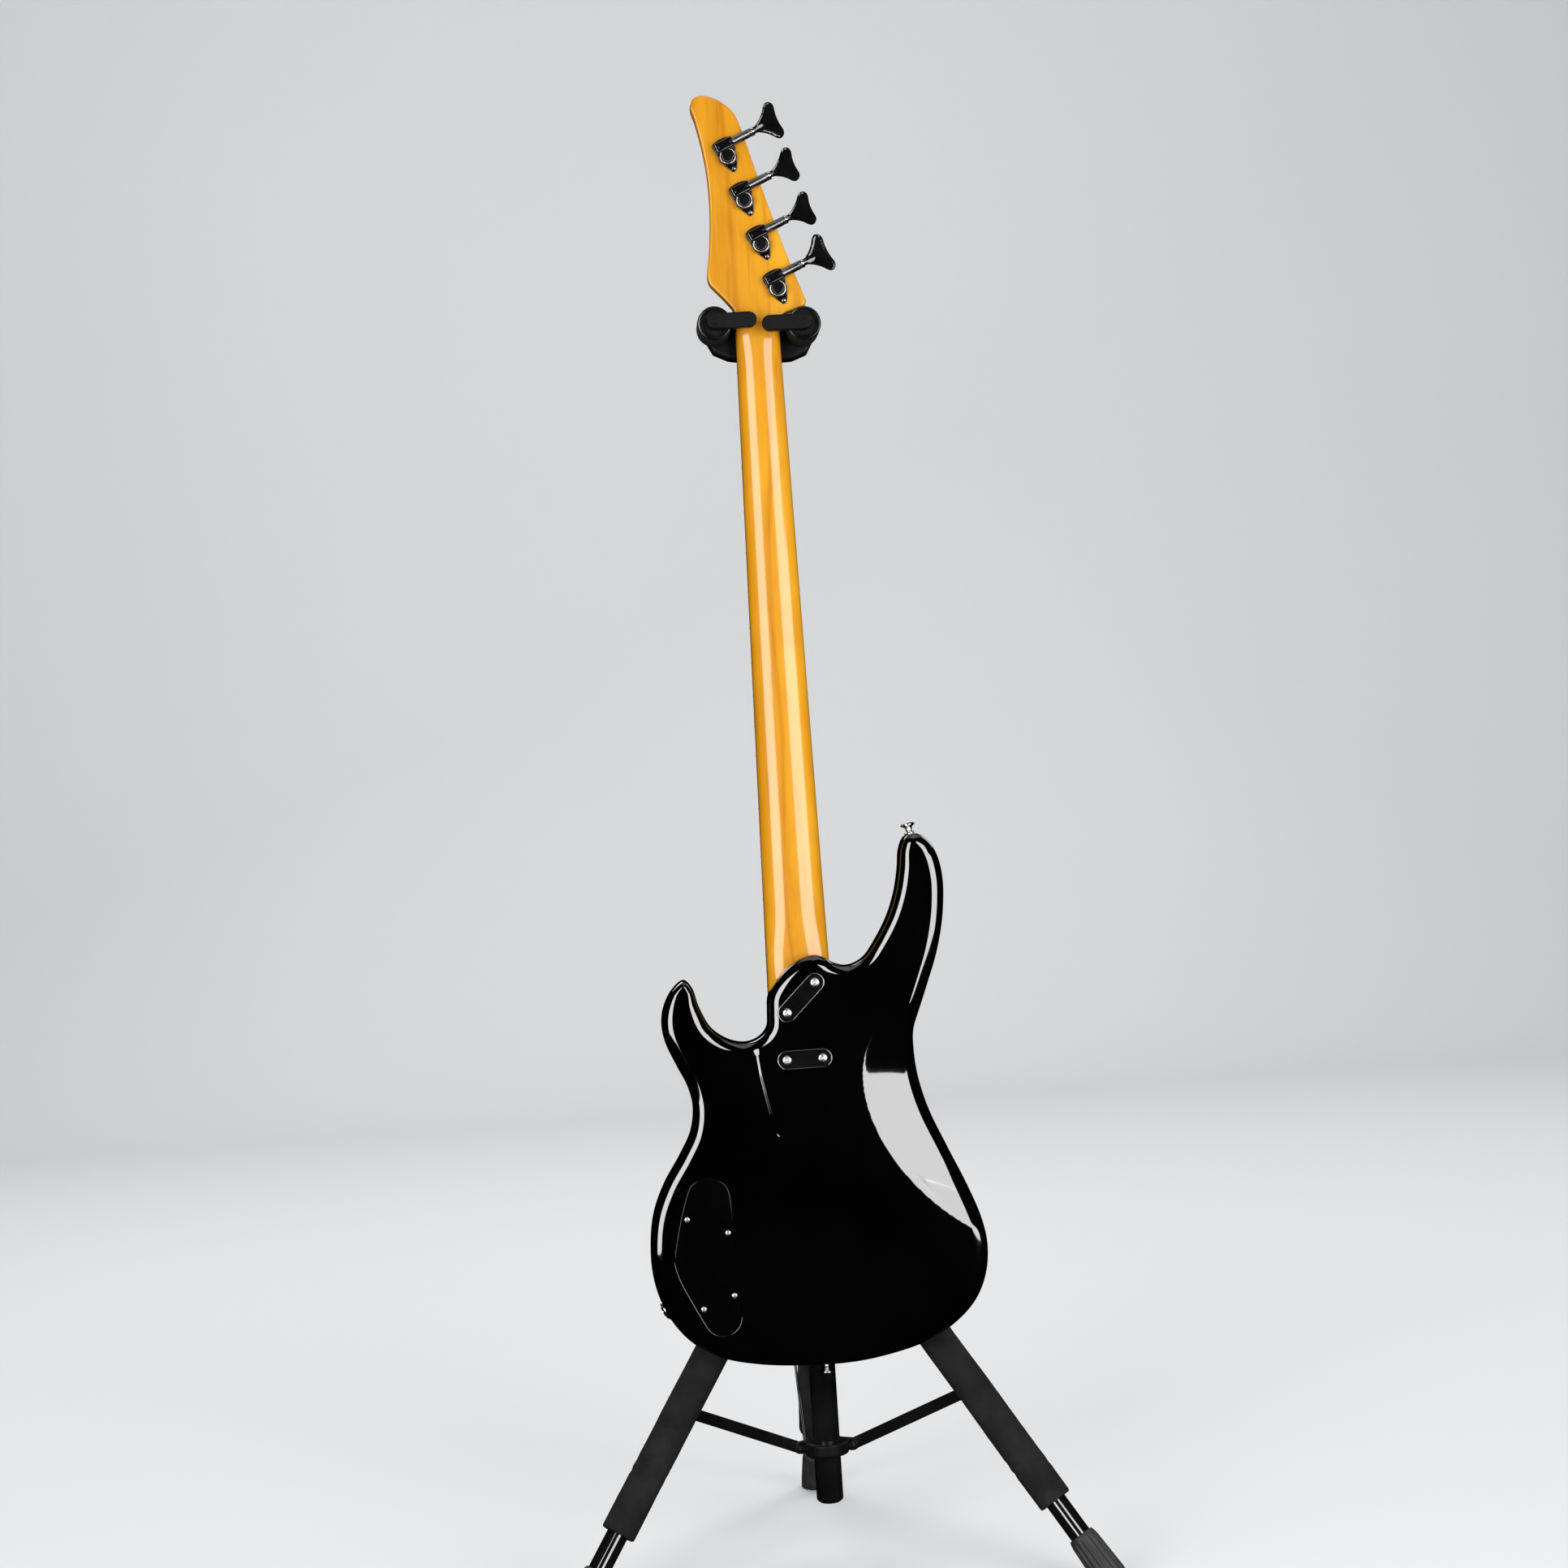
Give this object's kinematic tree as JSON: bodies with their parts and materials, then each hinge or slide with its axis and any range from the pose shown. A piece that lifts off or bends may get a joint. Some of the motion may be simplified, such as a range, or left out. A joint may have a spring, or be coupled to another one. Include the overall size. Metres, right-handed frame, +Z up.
{
  "type": "bass guitar on stand",
  "caption": "Solid-body electric bass hung by its headstock in a folding tripod stand with a self-closing yoke and foam-sleeved legs.",
  "frame": {"origin": "on the floor, at the centre of the footprint of the whole object", "axes": "+Z up; -Y the side the guitar's back faces; +X to the right seen from there"},
  "size_m": [0.5336, 0.4658, 1.387],
  "materials": {
    "black_tube": "satin black powder coat",
    "zinc": "zinc plated",
    "black_plastic": "moulded, slightly shiny",
    "foam": "closed-cell foam, matt",
    "foot_rubber": "matt",
    "body_wood": "polished black lacquer",
    "maple": "amber gloss lacquer",
    "rosewood": "oiled",
    "bone": "polished",
    "string_steel": "wound steel",
    "black_chrome": "black chrome",
    "black_hardware": "gloss black",
    "chrome": "polished",
    "pickup_cover": "satin black",
    "cover_plastic": "gloss black"
  },
  "bodies": {
    "column": {"lower_tube": "black_tube", "brace_collar": "black_plastic", "clutch_housing": "black_plastic"},
    "hub": {"leg_hub": "black_plastic"},
    "left_leg": {"left_leg_tube": "black_tube", "left_leg_foam": "foam", "left_foot": "foot_rubber"},
    "right_leg": {"right_leg_tube": "black_tube", "right_leg_foam": "foam", "right_foot": "foot_rubber"},
    "rear_leg": {"rear_leg_tube": "black_tube", "rear_leg_foam": "foam", "rear_foot": "foot_rubber"},
    "left_brace": {"left_brace": "black_tube"},
    "right_brace": {"right_brace": "black_tube"},
    "rear_brace": {"rear_brace": "black_tube"},
    "lever": {"clutch_lever": "black_plastic"},
    "mast": {"upper_tube": "black_tube", "yoke_base": "black_plastic"},
    "yoke": {"yoke_carriage": "black_plastic", "left_arm_pad": "foam", "right_arm_pad": "foam"},
    "left_gate": {"left_gate": "black_plastic"},
    "right_gate": {"right_gate": "black_plastic"},
    "guitar": {"body": "body_wood", "neck": "maple", "truss_rod": "zinc", "fingerboard": "rosewood", "nut": "bone", "string_1": "string_steel", "string_2": "string_steel", "string_3": "string_steel", "string_4": "string_steel", "tuner_base_1": "black_chrome", "tuner_base_2": "black_chrome", "tuner_base_3": "black_chrome", "tuner_base_4": "black_chrome", "bridge": "black_hardware", "neck_pickup": "pickup_cover", "bridge_pickup": "pickup_cover", "pot_1": "zinc", "pot_2": "zinc", "pot_3": "zinc", "control_cover": "cover_plastic", "output_jack": "chrome", "neck_plate_upper": "black_hardware", "neck_plate_lower": "black_hardware", "horn_strap_button": "chrome", "tail_strap_button": "chrome"},
    "tuner_1": {"tuner_button_1": "black_chrome"},
    "post_1": {"tuner_post_1": "chrome"},
    "tuner_2": {"tuner_button_2": "black_chrome"},
    "post_2": {"tuner_post_2": "chrome"},
    "tuner_3": {"tuner_button_3": "black_chrome"},
    "post_3": {"tuner_post_3": "chrome"},
    "tuner_4": {"tuner_button_4": "black_chrome"},
    "post_4": {"tuner_post_4": "chrome"},
    "knob_1": {"knob_1": "black_plastic"},
    "knob_2": {"knob_2": "black_plastic"},
    "knob_3": {"knob_3": "black_plastic"}
  },
  "joints": [
    {"name": "leg_fold", "type": "slide", "parent": "column", "child": "hub", "axis": [0, 0, 1], "range_m": [0, 0.126]},
    {"name": "left_leg_hinge", "type": "hinge", "parent": "hub", "child": "left_leg", "pos_m": [-0.02685, -0.08895, 0.341], "axis": [0.5, -0.866, 0], "range_deg": [0, 32.1]},
    {"name": "right_leg_hinge", "type": "hinge", "parent": "hub", "child": "right_leg", "pos_m": [0.02685, -0.08895, 0.341], "axis": [0.5, 0.866, 0], "range_deg": [0, 32.1]},
    {"name": "rear_leg_hinge", "type": "hinge", "parent": "hub", "child": "rear_leg", "pos_m": [0, -0.04245, 0.341], "axis": [-1, 0, 0], "range_deg": [0, 32.1]},
    {"name": "left_brace_hinge", "type": "hinge", "parent": "column", "child": "left_brace", "pos_m": [-0.01732, -0.08345, 0.111], "axis": [-0.5, 0.866, 0], "range_deg": [0, 54.16]},
    {"name": "right_brace_hinge", "type": "hinge", "parent": "column", "child": "right_brace", "pos_m": [0.01732, -0.08345, 0.111], "axis": [-0.5, -0.866, 0], "range_deg": [0, 54.16]},
    {"name": "rear_brace_hinge", "type": "hinge", "parent": "column", "child": "rear_brace", "pos_m": [0, -0.05345, 0.111], "axis": [1, 0, 0], "range_deg": [0, 54.16]},
    {"name": "mast_height", "type": "slide", "parent": "column", "child": "mast", "axis": [0, 0, 1], "range_m": [0, 0.06]},
    {"name": "clutch_squeeze", "type": "hinge", "parent": "column", "child": "lever", "pos_m": [0, -0.04645, 0.624], "axis": [-1, 0, 0], "range_deg": [0, 8], "stiffness_Nm_per_rad": 0.8},
    {"name": "yoke_rise", "type": "slide", "parent": "mast", "child": "yoke", "axis": [0, 0, 1], "range_m": [0, 0.016], "stiffness_N_per_m": 300, "springref_m": 0.016},
    {"name": "left_gate_hinge", "type": "hinge", "parent": "yoke", "child": "left_gate", "pos_m": [-0.0427, -0.15715, 1.1743], "axis": [0, -1, 0], "range_deg": [0, 80.2]},
    {"name": "right_gate_hinge", "type": "hinge", "parent": "yoke", "child": "right_gate", "pos_m": [0.04, -0.15715, 1.1699], "axis": [0, 1, 0], "range_deg": [0, 80.2]},
    {"name": "guitar_lift", "type": "slide", "parent": "yoke", "child": "guitar", "axis": [0, 0.0209, 0.9998], "range_m": [0, 0.1]},
    {"name": "tuner_1_turn", "type": "hinge", "parent": "guitar", "child": "tuner_1", "pos_m": [0.00279, -0.1434, 1.34942], "axis": [0.9114, 0.0086, 0.4114], "continuous": true},
    {"name": "post_1_turn", "type": "hinge", "parent": "guitar", "child": "post_1", "pos_m": [-0.0204, -0.12446, 1.32747], "axis": [0, 0.9998, -0.0209], "continuous": true},
    {"name": "tuner_2_turn", "type": "hinge", "parent": "guitar", "child": "tuner_2", "pos_m": [0.01559, -0.14427, 1.30783], "axis": [0.9114, 0.0086, 0.4114], "continuous": true},
    {"name": "post_2_turn", "type": "hinge", "parent": "guitar", "child": "post_2", "pos_m": [-0.0076, -0.12533, 1.28588], "axis": [0, 0.9998, -0.0209], "continuous": true},
    {"name": "tuner_3_turn", "type": "hinge", "parent": "guitar", "child": "tuner_3", "pos_m": [0.02849, -0.14514, 1.26634], "axis": [0.9114, 0.0086, 0.4114], "continuous": true},
    {"name": "post_3_turn", "type": "hinge", "parent": "guitar", "child": "post_3", "pos_m": [0.0053, -0.1262, 1.24439], "axis": [0, 0.9998, -0.0209], "continuous": true},
    {"name": "tuner_4_turn", "type": "hinge", "parent": "guitar", "child": "tuner_4", "pos_m": [0.04139, -0.14601, 1.22485], "axis": [0.9114, 0.0086, 0.4114], "continuous": true},
    {"name": "post_4_turn", "type": "hinge", "parent": "guitar", "child": "post_4", "pos_m": [0.0182, -0.12707, 1.2029], "axis": [0, 0.9998, -0.0209], "continuous": true},
    {"name": "knob_1_turn", "type": "hinge", "parent": "guitar", "child": "knob_1", "pos_m": [-0.0992, -0.14464, 0.36398], "axis": [0, 0.9998, -0.0209], "range_deg": [-150, 150]},
    {"name": "knob_2_turn", "type": "hinge", "parent": "guitar", "child": "knob_2", "pos_m": [-0.1032, -0.1455, 0.32299], "axis": [0, 0.9998, -0.0209], "range_deg": [-150, 150]},
    {"name": "knob_3_turn", "type": "hinge", "parent": "guitar", "child": "knob_3", "pos_m": [-0.0932, -0.14642, 0.279], "axis": [0, 0.9998, -0.0209], "range_deg": [-150, 150]}
  ],
  "couplings": [
    {"joint": "left_leg_hinge", "follows": "leg_fold", "rad_per_m": 4.4326},
    {"joint": "right_leg_hinge", "follows": "leg_fold", "rad_per_m": 4.4326},
    {"joint": "rear_leg_hinge", "follows": "leg_fold", "rad_per_m": 4.4326},
    {"joint": "left_brace_hinge", "follows": "leg_fold", "rad_per_m": 7.4877},
    {"joint": "right_brace_hinge", "follows": "leg_fold", "rad_per_m": 7.4877},
    {"joint": "rear_brace_hinge", "follows": "leg_fold", "rad_per_m": 7.4877},
    {"joint": "left_gate_hinge", "follows": "yoke_rise", "rad_per_m": 87.266},
    {"joint": "right_gate_hinge", "follows": "yoke_rise", "rad_per_m": 87.266},
    {"joint": "post_1_turn", "follows": "tuner_1_turn", "ratio": 0.05},
    {"joint": "post_2_turn", "follows": "tuner_2_turn", "ratio": 0.05},
    {"joint": "post_3_turn", "follows": "tuner_3_turn", "ratio": 0.05},
    {"joint": "post_4_turn", "follows": "tuner_4_turn", "ratio": 0.05}
  ]
}
